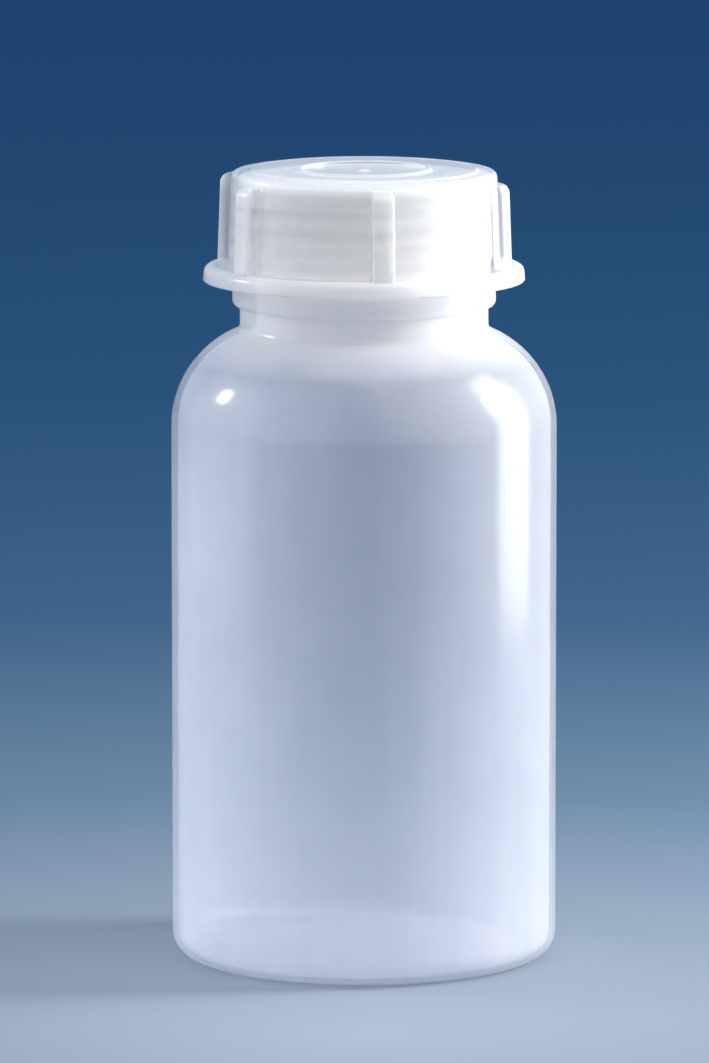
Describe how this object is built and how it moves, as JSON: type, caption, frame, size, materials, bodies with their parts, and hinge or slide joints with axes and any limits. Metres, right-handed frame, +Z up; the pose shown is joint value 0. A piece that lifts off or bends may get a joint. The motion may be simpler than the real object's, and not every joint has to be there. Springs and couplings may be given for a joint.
{
  "type": "reagent bottle",
  "caption": "Wide-mouth translucent plastic bottle with a threaded neck, a ribbed screw cap with a hand flange, and a loose sealing disc.",
  "frame": {"origin": "centre of the base, on the plane the bottle stands on", "axes": "+Z up along the bottle's axis; -Y is the front, which one grip rib of the tight cap faces, turned a little towards +X"},
  "size_m": [0.075, 0.075, 0.1549],
  "materials": {
    "bottle_plastic": "milky translucent natural polyethylene, soft sheen",
    "cap_plastic": "milky translucent natural polypropylene, soft sheen",
    "disc_plastic": "white foamed polyethylene"
  },
  "bodies": {
    "bottle": {"bottle": "bottle_plastic"},
    "seal": {"sealing_disc": "disc_plastic"},
    "cap": {"screw_cap": "cap_plastic"}
  },
  "joints": [
    {"name": "cap_lift", "type": "slide", "parent": "bottle", "child": "seal", "axis": [0, 0, 1], "range_m": [0, 0.024]},
    {"name": "cap_turn", "type": "hinge", "parent": "seal", "child": "cap", "pos_m": [0, 0, 0.1345], "axis": [0, 0, 1], "range_deg": [0, 2160]}
  ],
  "couplings": [
    {"joint": "cap_lift", "follows": "cap_turn", "m_per_rad": 0.00063662}
  ]
}
